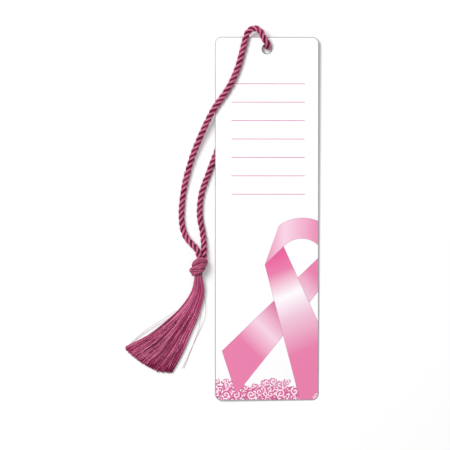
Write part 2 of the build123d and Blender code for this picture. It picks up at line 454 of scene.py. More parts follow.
def lay_ribbon(finish, card):
    """A looped ribbon: the limb behind, the loop above and the limb in front."""
    fold_left, fold_right = (-0.95, -22.6), (8.14, -13.57)
    behind = finish.within(
        finish.line((25.4, -19.0), (-21.98, -64.7)),
        finish.line((-21.98, -64.7), (-15.1, -85.8)),
        finish.line((-15.1, -86.2), (25.4, -35.2)),
    )
    stops = [(2.5, card.ribbon), (12.0, card.ribbon_soft), (26.5, card.ribbon_shade)]
    stops += [(38.6, card.ribbon_pale), (50.3, card.ribbon)]
    lay_edged(finish, card, behind, finish.shaded(-0.71, -0.70, stops))
    inner = finish.math("MULTIPLY", finish.oval((17.0, -20.0), (11.2, 10.34)), -1.0)
    beside = finish.either(finish.line(fold_left, fold_right), finish.line((8.14, 0.0), (8.14, -10.0)))
    loop = finish.within(
        finish.either(finish.oval((17.5, -12.0), (16.0, 12.4)), finish.line((10.0, -12.0), (0.0, -12.0))),
        finish.line((6.1, -3.0), fold_left),
        inner,
        beside,
        finish.line((0.0, -22.7), (10.0, -22.7)),
    )
    stops = [(-2.4, card.ribbon), (8.8, card.ribbon_pale), (27.0, card.ribbon)]
    lay_edged(finish, card, loop, finish.shaded(1.0, 0.0, stops))
    front = finish.within(
        finish.line(fold_right, fold_left),
        finish.line(fold_left, (16.2, -88.6)),
        finish.line((25.36, -51.2), fold_right),
    )
    stops = [(18.5, card.ribbon_fold), (26.3, card.ribbon), (38.6, card.ribbon_gleam)]
    stops += [(49.6, card.ribbon_soft), (66.7, card.ribbon)]
    lay_edged(finish, card, front, finish.shaded(0.39, -0.92, stops))


def lay_cut_edge(finish, card):
    """The trimmed outline and the rim of the hole as a fine grey line, partly the grey of the cut layers and
    partly painted edge shade, laid darker round the hole.
    """
    edge_line, rim_line, rim_shade = 0.34, 0.28, 0.75
    corner = card.corner / MM
    straight = (card.width / 2 / MM - corner, card.length / 2 / MM - corner, 0)
    beyond = finish.vector("SUBTRACT", finish.vector("ABSOLUTE", finish.spot), straight)
    beyond = finish.vector("MAXIMUM", beyond, (0, 0, 0))
    depth = finish.math("ADD", finish.vector("LENGTH", beyond, out=1), edge_line - corner)
    finish.lay(finish.cover(finish.math("MULTIPLY", depth, -1.0)), card.cut)
    hole_y = (card.length / 2 - card.hole_from_top) / MM
    radius = card.hole / 2 / MM + rim_line
    rim = finish.oval((0.0, hole_y), (radius, radius))
    # Painted shade: the rim of the hole is laid darker than the outline
    finish.lay(finish.cover(rim), [tone * rim_shade for tone in card.cut])


def front_print(card):
    """Front face: ruled lines, a looped ribbon and a lace border."""
    finish = PrintFinish("printed_front", card)
    lay_lace(finish, card)
    lay_rules(finish, card, first=12.0, last=66.0, count=7, half=18.0, offset=0.6)
    lay_ribbon(finish, card)
    lay_corner_curls(finish, card)
    lay_cut_edge(finish, card)
    return finish.finished()


def back_print(card):
    """Back face: an arched header with soft leaves, bulleted lines and the same lace border."""
    finish = PrintFinish("printed_back", card, mirrored=True)
    lay_lace(finish, card)
    arch = finish.cover(finish.oval((0.0, 79.4), (30.0, 30.0)))
    finish.lay(arch, card.pink)
    lay_leaves(finish, card, arch)
    lowest, highest = -66.0, 36.0
    lay_rules(finish, card, first=lowest, last=highest, count=18, half=17.0, offset=2.0)
    bullet_x, bullet_pitch, bullet_radius, margin = -18.4, 18.0, 0.7, 2.0
    away = finish.math("MULTIPLY", finish.from_row(lowest, bullet_pitch), bullet_pitch)
    beside = finish.math("ADD", finish.x, -bullet_x)
    bullet = finish.add("ShaderNodeCombineXYZ", {"X": beside, "Y": away}).outputs["Vector"]
    dot = finish.math("ADD", finish.vector("LENGTH", bullet, out=1), -bullet_radius)
    finish.lay(finish.cover(finish.within(dot, finish.band(lowest, highest, margin))), card.rule)
    lay_cut_edge(finish, card)
    return finish.finished()


def paper_edge(card):
    """Side wall of the card, where the cut fibres show."""
    finish = Finish(bpy.data.materials.new("paper_edge"))
    fibre = finish.noise(finish.object_place(), scale=4000.0)
    tone = finish.ramp(fibre, [(0.3, linear(card.cut)), (0.7, linear(card.paper))])
    return finish.surface(finish.principled(base_color=tone, roughness=0.8))


def film_gloss():
    """Clear laminating film: the print shows through, and the skin mirrors at a low angle."""
    finish = Finish(bpy.data.materials.new("clear_film"))
    least, greatest = 0.012, 0.712
    facing = finish.add("ShaderNodeLayerWeight", {"Blend": 0.5}).outputs["Facing"]
    shine = finish.math("MULTIPLY_ADD", finish.math("POWER", facing, 5.0), greatest - least, least)
    waves = finish.noise(finish.object_place(), scale=160.0)
    normal = finish.bump(waves, strength=0.12, distance=0.2 * MM)
    gloss = finish.add("ShaderNodeBsdfGlossy", {"Roughness": 0.09, "Normal": normal}).outputs["BSDF"]
    clear = finish.add("ShaderNodeBsdfTransparent").outputs["BSDF"]
    mix = finish.add("ShaderNodeMixShader", {0: shine, 1: clear, 2: gloss})
    return finish.surface(mix.outputs["Shader"])


def rayon(finish, share, stops, **sockets):
    """Rayon with a faint sheen, dyed by a share from dark to light, from (place, dye) stops."""
    tone = finish.ramp(share, [(place, linear(dye)) for place, dye in stops])
    return finish.surface(finish.principled(base_color=tone, sheen_roughness=0.4, **sockets))


def cord_yarn(cord):
    """Twisted rayon: fine filaments along each ply, with a painted highlight on the crests and painted shade in
    the grooves.
    """
    finish = Finish(bpy.data.materials.new("cord_yarn"))
    filaments, slant, cloudiness, streak = 12.0, -3.0, 0.7, 0.07
    # Share of painted light and shade at each point: high on the crests, low in the grooves and the heart
    crest = finish.add("ShaderNodeAttribute", attribute_name="crest").outputs["Fac"]
    place = finish.thread_map()
    turn = finish.math("MULTIPLY_ADD", place["Y"], slant, finish.math("MULTIPLY", place["X"], filaments))
    filament = finish.math("SINE", finish.math("MULTIPLY", turn, tau))
    cloud = finish.math("ADD", finish.noise(finish.object_place(), scale=900.0, detail=3.0), -0.5)
    lift = finish.math("MULTIPLY_ADD", cloud, cloudiness, crest)
    lift = finish.math("MULTIPLY_ADD", filament, streak, lift)
    share = finish.math("MULTIPLY_ADD", lift, 0.5, 0.5, clamp=True)
    # From the painted shade of the grooves through the middle dye to the painted highlight of the crests
    stops = [(0.42, cord.painted_groove_shade), (0.72, cord.middle), (1.0, cord.crest)]
    normal = finish.bump(filament, strength=0.5, distance=0.06 * MM)
    sockets = {"roughness": 0.46, "specular_ior_level": 0.25, "sheen_weight": 0.08, "normal": normal}
    return rayon(finish, share, stops, **sockets)


def loose_thread(skirt):
    """Loose rayon threads: each has its own tone, which holds its dye together with painted shade and painted
    glints, with streaks along it.
    """
    finish = Finish(bpy.data.materials.new("loose_thread"))
    streaks, apart, contrast = 14.0, 37.0, 0.5
    tone = finish.add("ShaderNodeAttribute", attribute_name="tone").outputs["Fac"]
    along = finish.math("MULTIPLY", finish.thread_map()["Y"], streaks)
    along = finish.math("MULTIPLY_ADD", tone, apart, along)
    streak = finish.add("ShaderNodeTexNoise", {"W": along, "Detail": 2.0}, noise_dimensions="1D")
    streak = finish.math("ADD", streak.outputs["Fac"], -0.5)
    share = finish.math("MULTIPLY_ADD", streak, contrast, tone, clamp=True)
    # The dark end carries painted shade as well as dye, the light end painted glints as well as dye
    stops = [(0.05, skirt.dark), (0.5, skirt.middle), (0.95, skirt.light)]
    return rayon(finish, share, stops, roughness=0.42, specular_ior_level=0.28, sheen_weight=0.06)


def deselect_all():
    """Leaves object mode with nothing selected."""
    if bpy.context.object and bpy.context.object.mode != "OBJECT":
        bpy.ops.object.mode_set(mode="OBJECT")
    bpy.ops.object.select_all(action="DESELECT")


def card_frame(card):
    """The card's own axes, with the origin on the back of the laminate in the middle of the card."""
    swing = joints["loop_swing"]
    normal = Vector(swing["axis"]).normalized()
    across = Vector((normal.z, 0.0, -normal.x)).normalized()
    along = normal.cross(across)
    hole_y = card.length / 2 - card.hole_from_top
    thickness = card.core + 2 * card.film
    origin = Vector(swing["pos_m"]) - along * hole_y - normal * (thickness / 2)
    matrix = Matrix((across, along, normal)).transposed().to_4x4()
    matrix.translation = origin
    return matrix


def meets_card(points, card):
    """Whether some of the points lie in the card or close to it."""
    swing = joints["loop_swing"]
    level = (points - np.array(swing["pos_m"])) @ np.array(swing["axis"])
    between = np.abs(level) < card.core / 2 + card.film + FACE_ROOM
    beside = points[:, 0] > -card.width / 2 - EDGE_ROOM
    below = points[:, 1] < card.length / 2 + EDGE_ROOM
    return bool(np.any(between & beside & below))


def run_along(points):
    """How far along a line each of its points lies."""
    return np.concatenate([[0.0], np.cumsum(np.linalg.norm(np.diff(points, axis=0), axis=1))])


def read_line(places, run, points):
    """Points of a line, read at places along it."""
    return np.column_stack([np.interp(places, run, points[:, k]) for k in range(3)])


def even_line(points, spacing):
    """Points at an even spacing along a line, with how far along each one lies."""
    points = np.asarray(points, float)
    run = run_along(points)
    steps = np.linspace(0.0, run[-1], max(int(round(run[-1] / spacing)), 4) + 1)
    return read_line(steps, run, points), steps


def placed(route, origin=(0.0, 0.0, 0.0)):
    """A route in millimetres from an origin as places in the frame."""
    return [Vector(origin) + Vector(place) * MM for place in route]


def smooth_route(name, route, spacing):
    """Even points along a smooth line that has the route's points as its control points."""
    curve = bpy.data.curves.new(name, "CURVE")
    curve.dimensions = "3D"
    curve.resolution_u = 24
    spline = curve.splines.new("NURBS")
    spline.points.add(len(route) - 1)
    for point, place in zip(spline.points, route):
        point.co = (*place, 1.0)
    spline.order_u = 3
    spline.use_endpoint_u = True
    guide = bpy.data.objects.new(name, curve)
    bpy.context.collection.objects.link(guide)
    mesh = bpy.data.meshes.new_from_object(guide)
    points = [vertex.co[:] for vertex in mesh.vertices]
    bpy.data.meshes.remove(mesh)
    bpy.data.objects.remove(guide)
    bpy.data.curves.remove(curve)
    return even_line(points, spacing)


def ways(line):
    """The direction at each point of a line."""
    way = np.gradient(line, axis=0)
    return way / np.linalg.norm(way, axis=1)[:, None]


def carried_sides(line):
    """Two directions square to a line, carried along it without twisting."""
    way = ways(line)
    first = np.cross(way[0], (0.0, 0.0, 1.0))
    if np.linalg.norm(first) < 0.1:
        first = np.cross(way[0], (1.0, 0.0, 0.0))
    sides = [first / np.linalg.norm(first)]
    for direction in way[1:]:
        side = sides[-1] - direction * np.dot(sides[-1], direction)
        sides.append(side / np.linalg.norm(side))
    sides = np.array(sides)
    return sides, np.cross(way, sides)


class Strands:
    """Gathers tubes into one mesh, with a map along each tube and, at its points, tones and shares of painted
    light and shade.
    """

    # How closely plies pack, the girth of the heart between them, and how much they wander and swell
    packing = 0.93
    heart = 0.66
    heart_sides = 6
    wander = 0.12
    slow_swell = 0.05
    quick_swell = 0.03
    floor_gap = 0.02 * MM

    # Loose fibres: how far they reach, their radius, where on the cord they are rooted, their least height and
    # their painted light, near the painted highlight of the ply crests
    fibre_reach = (0.3 * MM, 0.9 * MM)
    fibre_radius = 0.028 * MM
    fibre_root = 0.86
    fibre_floor = 0.04 * MM
    fibre_shade = (0.5, 0.9)

    def __init__(self):
        self.points, self.faces, self.maps, self.crests, self.tones, self.flat = [], [], [], [], [], []

    def tube(self, line, radius, outward, sides, run, tone=0.5, painted_light_range=(-1.0, 1.0)):
        """One closed tube, painted light with the second value where it faces outward and painted shade with
        the first where it faces back.
        """
        way = ways(line)
        outward = outward - way * np.sum(outward * way, axis=1)[:, None]
        outward /= np.linalg.norm(outward, axis=1)[:, None]
        across = np.cross(way, outward)
        radius = np.broadcast_to(radius, len(line))
        angles = np.arange(sides) * tau / sides
        base = sum(len(group) for group in self.points)
        ring = np.cos(angles)[None, :, None] * outward[:, None]
        ring = ring + np.sin(angles)[None, :, None] * across[:, None]
        points = line[:, None] + ring * radius[:, None, None]
        self.points.append(points.reshape(-1, 3))
        # Painted light and shade: lighter where the tube faces outward, darker where it faces back
        self.crests.append(np.tile(np.interp(np.cos(angles), (-1.0, 1.0), painted_light_range), len(line)))
        self.tones.append(np.repeat(np.broadcast_to(tone, len(line)), sides))
        for i in range(len(line) - 1):
            for j in range(sides):
                k = (j + 1) % sides
                low, high = base + i * sides, base + (i + 1) * sides
                self.faces.append((low + j, low + k, high + k, high + j))
                left, right = j / sides, (j + 1) / sides
                self.maps += [(left, run[i]), (right, run[i]), (right, run[i + 1]), (left, run[i + 1])]
        last = base + (len(line) - 1) * sides
        self.flat += [len(self.faces), len(self.faces) + 1]
        self.faces.append(tuple(base + j for j in reversed(range(sides))))
        self.faces.append(tuple(last + j for j in range(sides)))
        self.maps += [(j / sides, run[0]) for j in reversed(range(sides))]
        self.maps += [(j / sides, run[-1]) for j in range(sides)]

    def twist(self, line, run, diameter, lay, plies, sides, part=slice(None), painted_light_range=(-1.0, 1.0)):
        """A cord of plies that wind to the right round a heart painted dark as shade, made along a part of a
        middle line.
        """
        turns = run / lay
        diameter = np.broadcast_to(diameter, len(line))
        ply = self.packing * diameter / 2 / (1 + 1 / sin(pi / plies))
        out = diameter / 2 - ply
        first, second = carried_sides(line)
        # The heart gets the darkest value all round: painted shade between the plies
        dark = (painted_light_range[0], painted_light_range[0])
        self.tube(line[part], (out * self.heart)[part], first[part], self.heart_sides, turns[part], painted_light_range=dark)
        for number in range(plies):
            angle = tau * (turns + number / plies) + self.wander * np.sin(turns * 2.3 + 2.0 * number)
            outward = np.cos(angle)[:, None] * first + np.sin(angle)[:, None] * second
            swell = 1 + self.slow_swell * np.sin(turns * 4.1 + number)
            radius = ply * (swell + self.quick_swell * np.sin(turns * 17.0 + 3 * number))
            middle = line + outward * out[:, None]
            middle[:, 2] = np.maximum(middle[:, 2], ply + self.floor_gap)
            self.tube(middle[part], radius[part], outward[part], sides, turns[part], painted_light_range=painted_light_range)

    def fuzz(self, line, run, radius, card, count, chance):
        """Short loose fibres that stand off a cord, apart from those that would go into the card."""
        first, second = carried_sides(line)
        way = ways(line)
        for _ in range(count):
            i = chance.integers(1, len(line) - 1)
            angle = chance.uniform(0, tau)
            out = np.cos(angle) * first[i] + np.sin(angle) * second[i]
            side = np.cross(way[i], out)
            reach = chance.uniform(*self.fibre_reach)
            lean = way[i] * chance.uniform(-1, 1) + side * chance.uniform(-0.8, 0.8)
            root = line[i] + out * radius * self.fibre_root
            bend = root + (out * 0.7 + lean) * reach * 0.6
            tip = root + (out * 0.75 + lean * 1.8) * reach
            hair = np.array([root, bend, tip])
            hair[:, 2] = np.maximum(hair[:, 2], self.fibre_floor)
            if not meets_card(hair, card):
                facing = np.tile(side + way[i] * 0.3, (3, 1))
                self.tube(hair, self.fibre_radius, facing, 3, np.full(3, run[i]), painted_light_range=self.fibre_shade)

    def shell(self, top, bottom, tone):
        """A closed body between two grids of points."""
        rows, columns = top.shape[:2]
        base = sum(len(group) for group in self.points)
        self.points += [top.reshape(-1, 3), bottom.reshape(-1, 3)]
        self.crests += [np.zeros(rows * columns), np.full(rows * columns, -1.0)]
        self.tones += [np.full(rows * columns, tone), np.full(rows * columns, tone)]
        under = base + rows * columns

        def at(start, i, j):
            return start + i * columns + j

        def face(*corners):
            self.faces.append(corners)
            self.maps.extend([(0.0, 0.0)] * len(corners))

        for i in range(rows - 1):
            for j in range(columns - 1):
                face(at(base, i, j), at(base, i + 1, j), at(base, i + 1, j + 1), at(base, i, j + 1))
                face(at(under, i, j), at(under, i, j + 1), at(under, i + 1, j + 1), at(under, i + 1, j))
            face(at(base, i, 0), at(under, i, 0), at(under, i + 1, 0), at(base, i + 1, 0))
            end = columns - 1
            face(at(base, i, end), at(base, i + 1, end), at(under, i + 1, end), at(under, i, end))
        for j in range(columns - 1):
            face(at(base, 0, j), at(base, 0, j + 1), at(under, 0, j + 1), at(under, 0, j))
            end = rows - 1
            face(at(base, end, j), at(under, end, j), at(under, end, j + 1), at(base, end, j + 1))

    def piece(self, name, material):
        """The mesh of all the tubes as one object."""
        mesh = bpy.data.meshes.new(name)
        mesh.from_pydata(np.concatenate(self.points).tolist(), [], self.faces)
        layer = mesh.uv_layers.new(name="UVMap")
        layer.data.foreach_set("uv", np.array(self.maps, np.float32).ravel())
        for kind, groups in (("crest", self.crests), ("tone", self.tones)):
            values = mesh.attributes.new(kind, "FLOAT", "POINT")
            values.data.foreach_set("value", np.concatenate(groups).astype(np.float32))
        smooth = np.ones(len(mesh.polygons), bool)
        smooth[self.flat] = False
        mesh.polygons.foreach_set("use_smooth", smooth)
        mesh.materials.append(material)
        mesh.update()
        piece = bpy.data.objects.new(name, mesh)
        bpy.context.collection.objects.link(piece)
        return piece


class BOOKMARK_OT_printed_card(bpy.types.Operator):
    """Models the printed card with its rounded corners and punched hole"""

    bl_idname = "bookmark.printed_card"
    bl_label = "Printed card"

    # Gap that keeps the printed faces clear of the films, and the points on a corner and round the hole
    film_gap = 0.004 * MM
    corner_points = 12
    hole_points = 64

    def execute(self, context):
        card = context.scene.bookmark_card
        deselect_all()
        bpy.ops.mesh.primitive_plane_add(size=1)
        piece = context.object
        piece.name = piece.data.name = "printed_card"
        bpy.ops.object.mode_set(mode="EDIT")
        bpy.ops.transform.resize(value=(card.width, card.length, 1))
        bpy.ops.mesh.bevel(affect="VERTICES", offset=card.corner, segments=self.corner_points)
        bpy.ops.mesh.delete(type="ONLY_FACE")
        bpy.ops.mesh.select_all(action="DESELECT")
        hole_y = card.length / 2 - card.hole_from_top
        bpy.ops.mesh.primitive_circle_add(
            vertices=self.hole_points, radius=card.hole / 2, location=(0, hole_y, 0)
        )
        bpy.ops.mesh.select_all(action="SELECT")
        bpy.ops.mesh.fill(use_beauty=True)
        thickness = card.core - 2 * self.film_gap
        bpy.ops.mesh.extrude_region_move(TRANSFORM_OT_translate={"value": (0, 0, thickness)})
        bpy.ops.mesh.select_all(action="SELECT")
        bpy.ops.mesh.normals_make_consistent(inside=False)
        bpy.ops.object.mode_set(mode="OBJECT")
        for material in (front_print(card), back_print(card), paper_edge(card)):
            piece.data.materials.append(material)
        for face in piece.data.polygons:
            face.material_index = 0 if face.normal.z > 0.5 else 1 if face.normal.z < -0.5 else 2
        piece.matrix_world = card_frame(card) @ Matrix.Translation((0, 0, card.film + self.film_gap))
        bpy.ops.object.transform_apply(location=True, rotation=True, scale=True)
        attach(piece, "card")
        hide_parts("card_core")
        return {"FINISHED"}


class BOOKMARK_OT_clear_films(bpy.types.Operator):
    """Gives the two laminating films their clear gloss"""

    bl_idname = "bookmark.clear_films"
    bl_label = "Clear films"

    def execute(self, context):
        gloss = film_gloss()
        for name in ("front_film", "back_film"):
            for place in frame["nodes"][name].material_slots:
                place.material = gloss
        return {"FINISHED"}


def cord_run(diameter):
    """The line that carries the cord on into the knot at both ends, its run and girth, and the part outside."""
    middle = Vector(joints["knot_swing"]["pos_m"])
    line, _ = smooth_route("cord_route", placed(CORD_ROUTE), CORD_STEP)
    inner = []
    for end, places in zip((line[0], line[-1]), KNOT_STRANDS):
        inner.append(smooth_route("knot_strand", [end] + placed(places, middle), CORD_STEP)[0][1:])
    whole = np.vstack([inner[0][::-1], line, inner[1]])
    from_hole = np.linalg.norm(whole - np.array(joints["loop_swing"]["pos_m"]), axis=1)
    girth = diameter * (CORD_FULLNESS - HOLE_SQUEEZE * np.exp(-((from_hole / HOLE_GRIP) ** 2)))
    return whole, run_along(whole), girth, slice(len(inner[0]), len(inner[0]) + len(line))


class BOOKMARK_OT_knot(bpy.types.Operator):
    """Ties the overhand knot: three turns drawn tight round both ends of the cord"""

    bl_idname = "bookmark.knot"
    bl_label = "Knot"

    # The turns show many fine plies: how many, their sides, their lay against the cord's, and the range of
    # their painted shade and painted highlight
    fine_plies = 7
    fine_sides = 8
    fine_lay = 1.5
    fine_shade = (0.15, 0.82)
    fine_step = 0.4 * MM

    # The ends inside lap over the cord outside by a few points and are a little thinner there
    lap = 2
    lap_girth = 0.985

    def execute(self, context):
        cord = context.scene.bookmark_cord
        middle = Vector(joints["knot_swing"]["pos_m"])
        strands = Strands()
        for thick, places in KNOT_WRAPS:
            line, run = smooth_route("knot_wrap", placed(places, middle), self.fine_step)
            lay = cord.lay * self.fine_lay
            strands.twist(line, run, thick * MM, lay, self.fine_plies, self.fine_sides, painted_light_range=self.fine_shade)
        whole, run, girth, outside = cord_run(cord.diameter)
        for part in (slice(0, outside.start + self.lap), slice(outside.stop - self.lap, None)):
            strands.twist(whole, run, girth * self.lap_girth, cord.lay, cord.plies, PLY_SIDES, part)
        piece = strands.piece("knot", cord_yarn(cord))
        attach(piece, "knot")
        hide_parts("tassel_knot")
        return {"FINISHED"}


class BOOKMARK_OT_skirt(bpy.types.Operator):
    """Fans out the loose threads below the knot and trims them"""

    bl_idname = "bookmark.skirt"
    bl_label = "Skirt of threads"

    # Lean of the fan's borders and its thickness, at distances from the neck in millimetres
    reach = (7.5, 17.0, 27.0, 38.0, 54.0)
    left = (29.0, 32.5, 38.0, 42.5, 49.0)
    right = (-22.0, -1.0, 8.0, 12.5, 17.5)
    thickness = (3.3, 2.7, 2.2, 1.8, 1.5)

    # The round neck: half its width, how far it goes up into the knot, and how much it widens below
    gather = 1.55 * MM
    rise = 3.1 * MM
    widening = 1.25

    # How far the neck reaches down and up from its middle, at its top and at its foot
    neck_down = (1.2 * MM, 1.4 * MM)
    neck_up = (1.2 * MM, 1.5 * MM)

    # How round the neck is, up to which row of the fan, and over how many rows that fades
    roundness = 0.92
    round_until = 3.0
    round_fade = 2.0

    # Height of the lowest threads above the table
    table_gap = 0.2 * MM

    # From which share of the way across the threads get shorter, and how fast, at the left and at the right
    short_left, shorter_left = 0.08, 10.0 * MM
    short_right, shorter_right = 0.74, 7.0 * MM

    # Points worked out along a thread, segments kept, and how much closer they are near the neck
    steps = 60
    segments = 22
    closer = 1.35
    thread_sides = 4

    # The bed under the threads: its top and foot as shares of the fan's thickness, its borders and its columns
    bed_levels = (0.5, 0.1)
    bed_borders = (0.03, 0.97)
    bed_columns = 40
    bed_shortfall = 0.8 * MM

    # Locks: the least and greatest width against each other, how much lower some lie, and their round crowns
    lock_widths = (0.3, 1.9)
    lock_lower = 0.36
    lock_crown = 0.5
    lock_overlap = 1.12

    # Depths of the threads in a lock and how many of them lie there
    depths = (1.0, 0.85, 0.6, 0.3, 0.08)
    depth_chances = (0.52, 0.2, 0.12, 0.09, 0.07)
    unevenness = 0.04
    trim = (-0.3 * MM, 0.3 * MM)

    # How far locks and threads stray sideways, as a share of the way across
    sideways = 0.011

    # Loose threads on top of the others: how many, how much farther they wander, and how low at the borders
    loose_chance = 0.24
    loose_wander = 3.6
    border_fall = 0.5

    # Tones: mean and spread of a lock, its waves and neck, spread of a thread; painted shade along a lock's
    # sides, on the lower threads and towards the lower right; painted glints: their strength, length and share
    # of threads
    lock_tone = (0.52, 0.13)
    wave_tone = 0.11
    neck_tone = 0.07
    thread_spread = 0.24
    side_shade = 0.6
    depth_shade = 0.42
    right_shade = 0.26
    glint = 0.7
    glint_width = 0.2
    glint_chance = 0.26

    # Single threads that have strayed from the fan, in millimetres
    strays = (
        [(-44.5, -45, 2.1), (-49.5, -48.6, 1.5), (-56.8, -52.6, 0.9), (-62.6, -57.2, 0.5), (-68.6, -62.8, 0.3)],
        [(-47, -48.4, 2), (-52.6, -51.6, 1.2), (-58.6, -55, 0.7), (-64.8, -60, 0.4), (-68.9, -63.2, 0.3)],
        [(-31.2, -36, 2.4), (-29.6, -42, 1.7), (-30.2, -49, 1), (-33.5, -56, 0.6), (-41.4, -73.4, 0.25)],
        [(-32.6, -46, 1.9), (-32.4, -51, 1.2), (-35.4, -60, 0.6), (-40.6, -73.4, 0.25)],
    )
    stray_girth = 0.22
    stray_tone = 0.3
    stray_step = 1.5 * MM
    seed = 7

    def fan(self):
        """Places of the left border, the right border and the height at the neck and at each distance."""
        neck = np.array(joints["skirt_lift"]["pos_m"])
        borders = [[], []]
        for border, leans in zip(borders, (self.left, self.right)):
            for reach, lean in zip(self.reach, leans):
                border.append(neck[:2] + reach * MM * np.array((-sin(radians(lean)), -cos(radians(lean)))))
        gather = np.array((self.gather, 0.0))
        rise = np.array((0.0, self.rise))
        left = np.array([neck[:2] + rise - gather, neck[:2] - gather * self.widening] + borders[0])
        right = np.array([neck[:2] + rise + gather, neck[:2] + gather * self.widening] + borders[1])
        low = np.array([neck[2] - down for down in self.neck_down] + [self.table_gap] * len(self.reach))
        high = np.array([neck[2] + up for up in self.neck_up] + [t * MM for t in self.thickness])
        return left, right, low, high

    @staticmethod
    def smooth(values, places):
        """A smooth run through the values, read at places counted in steps."""
        values = np.asarray(values, float)
        i = np.clip(places.astype(int), 0, len(values) - 2)
        t = places - i
        if values.ndim == 2:
            t = t[:, None]
        before, after = values[np.maximum(i - 1, 0)], values[np.minimum(i + 2, len(values) - 1)]
        here, there = values[i], values[i + 1]
        slope, slope_on = (there - before) / 2, (after - here) / 2
        return (
            (2 * t**3 - 3 * t**2 + 1) * here
            + (t**3 - 2 * t**2 + t) * slope
            + (3 * t**2 - 2 * t**3) * there
            + (t**3 - t**2) * slope_on
        )

    def thread_line(self, share, level, places):
        """A thread's line for a share of the way across the fan and a level in its thickness."""
        left, right, low, high = self.shape
        rounded = self.roundness * np.clip((self.round_until - places) / self.round_fade, 0.0, 1.0)
        level = 0.5 + (level - 0.5) * np.sqrt(1.0 - rounded * (2 * share - 1) ** 2)
        start, end = self.smooth(left, places), self.smooth(right, places)
        flat = start + (end - start) * share[:, None]
        base, top = self.smooth(low, places), self.smooth(high, places)
        return np.column_stack([flat, base + (top - base) * level])

    def shortfall(self, share):
        """How much shorter the threads near the two borders of the fan are."""
        right = self.shorter_right * max(share - self.short_right, 0)
        return right + self.shorter_left * max(self.short_left - share, 0)

    @staticmethod
    def sway(along, turns, chance):
        """A slow wave along a thread, with a chance number of half turns."""
        return np.sin(along * pi * chance.uniform(*turns) + chance.uniform(0, tau))

    def trimmed(self, line, length, count):
        """The part of a thread that the shears leave, closer near the neck, and the place of each point."""
        neck = np.array(joints["skirt_lift"]["pos_m"])[:2]
        away = np.linalg.norm(line[:, :2] - neck, axis=1)
        away[: self.steps // 4] = 0.0
        last = float(np.interp(length, away, np.arange(len(line))))
        places = np.append(np.arange(int(last) + 1), last)
        kept = read_line(places, np.arange(len(line)), line)
        run = run_along(kept)
        steps = run[-1] * np.linspace(0.0, 1.0, count + 1) ** self.closer
        return read_line(steps, run, kept), np.interp(steps, run, places)

    def bed(self, strands, length):
        """The mass of threads under the ones that show, given the darkest tone as painted shade."""
        places = np.linspace(0.0, len(self.shape[0]) - 1.0, self.steps)
        sheets = []
        for level in self.bed_levels:
            columns = []
            for share in np.linspace(*self.bed_borders, self.bed_columns):
                line = self.thread_line(np.full(self.steps, share), np.full(self.steps, level), places)
                columns.append(self.trimmed(line, length - self.shortfall(share), self.segments)[0])
            sheets.append(np.array(columns))
        # Tone 0 is the darkest colour: painted shade under the threads that show
        strands.shell(*sheets, 0.0)

    def lock(self, strands, skirt, centre, half, count, chance):
        """One lock of threads, crowned, with painted shade along its sides, on its lower threads and towards
        the fan's lower right, and painted glints on some threads.
        """
        last = len(self.shape[0]) - 1.0
        places = np.linspace(0.0, last, self.steps)
        along = places / last
        spread = np.minimum(1.0, 0.2 + along)
        height = 1.0 - chance.uniform(0.0, self.lock_lower) * spread
        wave = self.sway(along, (1.4, 4.0), chance)
        dye = chance.normal(*self.lock_tone) + self.wave_tone * wave * spread + self.neck_tone * (1 - along)
        drift = self.sideways * self.sway(along, (1.0, 2.4), chance) * along
        up = np.array((0.0, 0.0, 1.0))
        for _ in range(count):
            across = chance.uniform(-1, 1)
            depth = chance.choice(self.depths, p=self.depth_chances)
            loose = chance.random() < self.loose_chance
            wander = chance.normal(0, self.sideways) * self.sway(along, (0.8, 2.6), chance)
            if loose:
                wander = self.loose_wander * wander
                depth = 1.0
            share = centre + half * across * self.lock_overlap + drift + wander * (0.4 + along)
            share = np.abs(1.0 - np.abs(1.0 - np.abs(share)))
            crown = 1.0 - self.lock_crown * abs(across) ** 3 * np.minimum(1.0, 0.35 + along)
            level = height * depth * crown - self.unevenness * chance.random()
            if loose:
                fall = self.border_fall * np.abs(2 * share - 1) ** 6
                level = (1.0 - self.unevenness * chance.random()) * (1.0 - fall)
            # Painted glint: a short lighter stretch on some threads that stands for a highlight
            from_glint = (along - chance.uniform(0.25, 1.0)) / self.glint_width
            lit = chance.random() < self.glint_chance
            glint = self.glint * np.exp(-(from_glint**2)) * lit * depth
            tone = dye + chance.normal(0, self.thread_spread) + glint
            # Painted shade: darker along the lock's sides, on the lower threads and towards the fan's lower
            # right
            tone = tone - self.side_shade * across**4 * np.minimum(1.0, 0.25 + along)
            tone = tone - self.depth_shade * (1 - depth)
            tone = tone - self.right_shade * np.clip(centre - 0.25, 0, 1) * along
            length = skirt.length + chance.normal(*self.trim) - self.shortfall(centre)
            line, steps = self.trimmed(self.thread_line(share, level, places), length, self.segments)
            tone = np.clip(np.interp(steps, np.arange(self.steps), tone), 0.0, 1.0)
            run = np.linspace(0.0, 1.0, len(line)) ** self.closer
            strands.tube(line, skirt.thread / 2, np.tile(up, (len(line), 1)), self.thread_sides, run, tone)

